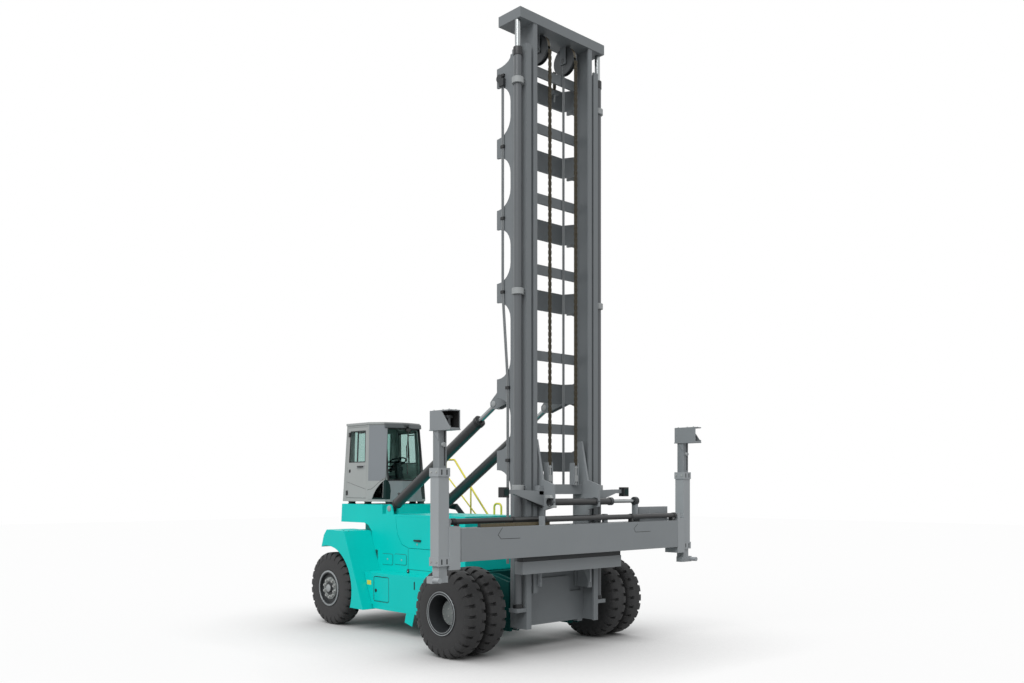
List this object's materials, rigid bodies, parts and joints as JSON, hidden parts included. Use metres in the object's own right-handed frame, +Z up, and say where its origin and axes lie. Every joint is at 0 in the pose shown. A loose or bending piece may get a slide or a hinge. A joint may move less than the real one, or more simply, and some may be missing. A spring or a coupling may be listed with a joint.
{
  "type": "empty container handler",
  "caption": "Mobile lift truck with rear cab, tall two-stage mast and telescopic side spreader that picks up empty shipping containers by their top corners.",
  "frame": {"origin": "on the ground, under the middle of the footprint", "axes": "+Z up, -Y towards the spreader (front), -X the machine's right side"},
  "size_m": [5.925, 6.387, 10.035],
  "materials": {
    "body_paint": "gloss turquoise paint",
    "mast_paint": "satin dark grey paint",
    "spreader_paint": "satin grey paint",
    "cab_paint": "satin light grey paint",
    "cylinder_paint": "satin near-black paint",
    "rail_paint": "gloss yellow paint",
    "rim_paint": "satin grey paint",
    "rod_chrome": "polished chrome",
    "bare_steel": "oiled steel",
    "iron": "cast iron, painted dark",
    "rubber_tyre": "black rubber",
    "window_glass": "green-tinted glass",
    "seat_cloth": "dark woven cloth",
    "dark_plastic": "black moulded plastic"
  },
  "bodies": {
    "chassis": {"chassis_frame": "body_paint", "engine_block": "iron", "counterweight": "body_paint", "rear_fenders": "body_paint", "side_box_right": "body_paint", "side_tank_left": "body_paint", "drive_axle": "iron", "steer_axle": "iron", "access_steps": "body_paint", "handrails": "rail_paint", "cab_shell": "cab_paint", "cab_glass": "window_glass", "cab_seat": "seat_cloth", "cab_controls": "dark_plastic"},
    "hatch_left": {"hood_hatch_left": "body_paint"},
    "hatch_right": {"hood_hatch_right": "body_paint"},
    "box_door": {"side_box_door": "body_paint"},
    "door_left": {"cab_door_left": "cab_paint", "door_glass_left": "window_glass"},
    "door_right": {"cab_door_right": "cab_paint", "door_glass_right": "window_glass"},
    "front_wheel_left": {"tyres_front_left": "rubber_tyre", "rim_front_left": "rim_paint"},
    "front_wheel_right": {"tyres_front_right": "rubber_tyre", "rim_front_right": "rim_paint"},
    "knuckle_left": {"knuckle_left": "iron"},
    "knuckle_right": {"knuckle_right": "iron"},
    "rear_wheel_left": {"tyre_rear_left": "rubber_tyre", "rim_rear_left": "rim_paint"},
    "rear_wheel_right": {"tyre_rear_right": "rubber_tyre", "rim_rear_right": "rim_paint"},
    "mast_outer": {"outer_mast": "mast_paint", "mast_side_plates": "mast_paint", "tilt_lugs": "mast_paint", "lift_barrels": "cylinder_paint", "anchor_chains": "bare_steel"},
    "mast_inner": {"inner_mast": "mast_paint", "lift_rods": "rod_chrome", "sheaves": "bare_steel", "lift_chains": "bare_steel"},
    "carriage": {"carriage_frame": "spreader_paint", "side_shift_barrel": "cylinder_paint"},
    "spreader": {"spreader_beam": "spreader_paint", "telescope_barrels": "cylinder_paint"},
    "arm_left": {"arm_left": "spreader_paint"},
    "arm_right": {"arm_right": "spreader_paint"},
    "head_left": {"head_left": "spreader_paint"},
    "head_right": {"head_right": "spreader_paint"},
    "tilt_barrel_left": {"tilt_barrel_left": "cylinder_paint"},
    "tilt_barrel_right": {"tilt_barrel_right": "cylinder_paint"},
    "tilt_rod_left": {"tilt_rod_left": "rod_chrome"},
    "tilt_rod_right": {"tilt_rod_right": "rod_chrome"}
  },
  "joints": [
    {"name": "front_wheel_left_spin", "type": "hinge", "parent": "chassis", "child": "front_wheel_left", "pos_m": [1.6075, -1.9065, 0.685], "axis": [1, 0, 0], "continuous": true},
    {"name": "front_wheel_right_spin", "type": "hinge", "parent": "chassis", "child": "front_wheel_right", "pos_m": [-1.6075, -1.9065, 0.685], "axis": [1, 0, 0], "continuous": true},
    {"name": "steer_left", "type": "hinge", "parent": "chassis", "child": "knuckle_left", "pos_m": [0.84, 2.4435, 0.685], "axis": [0, 0, 1], "range_deg": [-55, 55]},
    {"name": "steer_right", "type": "hinge", "parent": "chassis", "child": "knuckle_right", "pos_m": [-0.84, 2.4435, 0.685], "axis": [0, 0, 1], "range_deg": [-55, 55]},
    {"name": "rear_wheel_left_spin", "type": "hinge", "parent": "knuckle_left", "child": "rear_wheel_left", "pos_m": [1.052, 2.4435, 0.685], "axis": [1, 0, 0], "continuous": true},
    {"name": "rear_wheel_right_spin", "type": "hinge", "parent": "knuckle_right", "child": "rear_wheel_right", "pos_m": [-1.052, 2.4435, 0.685], "axis": [1, 0, 0], "continuous": true},
    {"name": "mast_tilt", "type": "hinge", "parent": "chassis", "child": "mast_outer", "pos_m": [0, -2.1065, 0.44], "axis": [-1, 0, 0], "range_deg": [-3, 3]},
    {"name": "tilt_barrel_left_pivot", "type": "hinge", "parent": "chassis", "child": "tilt_barrel_left", "pos_m": [0.59, 1.2775, 2.215], "axis": [-1, 0, 0], "range_deg": [-2, 2]},
    {"name": "tilt_rod_left_slide", "type": "slide", "parent": "tilt_barrel_left", "child": "tilt_rod_left", "axis": [0, -0.855, 0.5186], "range_m": [-0.18, 0.18]},
    {"name": "tilt_barrel_right_pivot", "type": "hinge", "parent": "chassis", "child": "tilt_barrel_right", "pos_m": [-0.59, 1.2775, 2.215], "axis": [-1, 0, 0], "range_deg": [-2, 2]},
    {"name": "tilt_rod_right_slide", "type": "slide", "parent": "tilt_barrel_right", "child": "tilt_rod_right", "axis": [0, -0.855, 0.5186], "range_m": [-0.18, 0.18]},
    {"name": "mast_lift", "type": "slide", "parent": "mast_outer", "child": "mast_inner", "axis": [0, 0, 1], "range_m": [0, 6]},
    {"name": "carriage_lift", "type": "slide", "parent": "mast_inner", "child": "carriage", "axis": [0, 0, 1], "range_m": [0, 6]},
    {"name": "side_shift", "type": "slide", "parent": "carriage", "child": "spreader", "axis": [1, 0, 0], "range_m": [-0.5, 0.5]},
    {"name": "arm_left_extend", "type": "slide", "parent": "spreader", "child": "arm_left", "axis": [1, 0, 0], "range_m": [0, 3.067]},
    {"name": "arm_right_extend", "type": "slide", "parent": "spreader", "child": "arm_right", "axis": [-1, 0, 0], "range_m": [0, 3.067]},
    {"name": "head_left_raise", "type": "slide", "parent": "arm_left", "child": "head_left", "axis": [0, 0, 1], "range_m": [0, 0.3]},
    {"name": "head_right_raise", "type": "slide", "parent": "arm_right", "child": "head_right", "axis": [0, 0, 1], "range_m": [0, 0.3]},
    {"name": "cab_door_left_swing", "type": "hinge", "parent": "chassis", "child": "door_left", "pos_m": [0.6575, 2.7335, 2.4], "axis": [-0.0393, -0.029, 0.9988], "range_deg": [0, 85]},
    {"name": "cab_door_right_swing", "type": "hinge", "parent": "chassis", "child": "door_right", "pos_m": [-0.6575, 2.7335, 2.4], "axis": [-0.0393, 0.029, -0.9988], "range_deg": [0, 85]},
    {"name": "hatch_left_lift", "type": "hinge", "parent": "chassis", "child": "hatch_left", "pos_m": [0.66, -0.3065, 2.07], "axis": [0, -1, 0], "range_deg": [0, 80]},
    {"name": "hatch_right_lift", "type": "hinge", "parent": "chassis", "child": "hatch_right", "pos_m": [-0.66, 0.0935, 2.07], "axis": [0, 1, 0], "range_deg": [0, 80]},
    {"name": "box_door_swing", "type": "hinge", "parent": "chassis", "child": "box_door", "pos_m": [-1.04, 0.7735, 0.76], "axis": [0, 0, 1], "range_deg": [0, 110]}
  ],
  "couplings": [
    {"joint": "steer_right", "follows": "steer_left", "ratio": 1},
    {"joint": "tilt_barrel_left_pivot", "follows": "mast_tilt", "ratio": 0.41845},
    {"joint": "tilt_rod_left_slide", "follows": "mast_tilt", "m_per_rad": -3.2721},
    {"joint": "tilt_barrel_right_pivot", "follows": "mast_tilt", "ratio": 0.41845},
    {"joint": "tilt_rod_right_slide", "follows": "mast_tilt", "m_per_rad": -3.2721},
    {"joint": "carriage_lift", "follows": "mast_lift", "ratio": 1},
    {"joint": "arm_right_extend", "follows": "arm_left_extend", "ratio": 1}
  ]
}
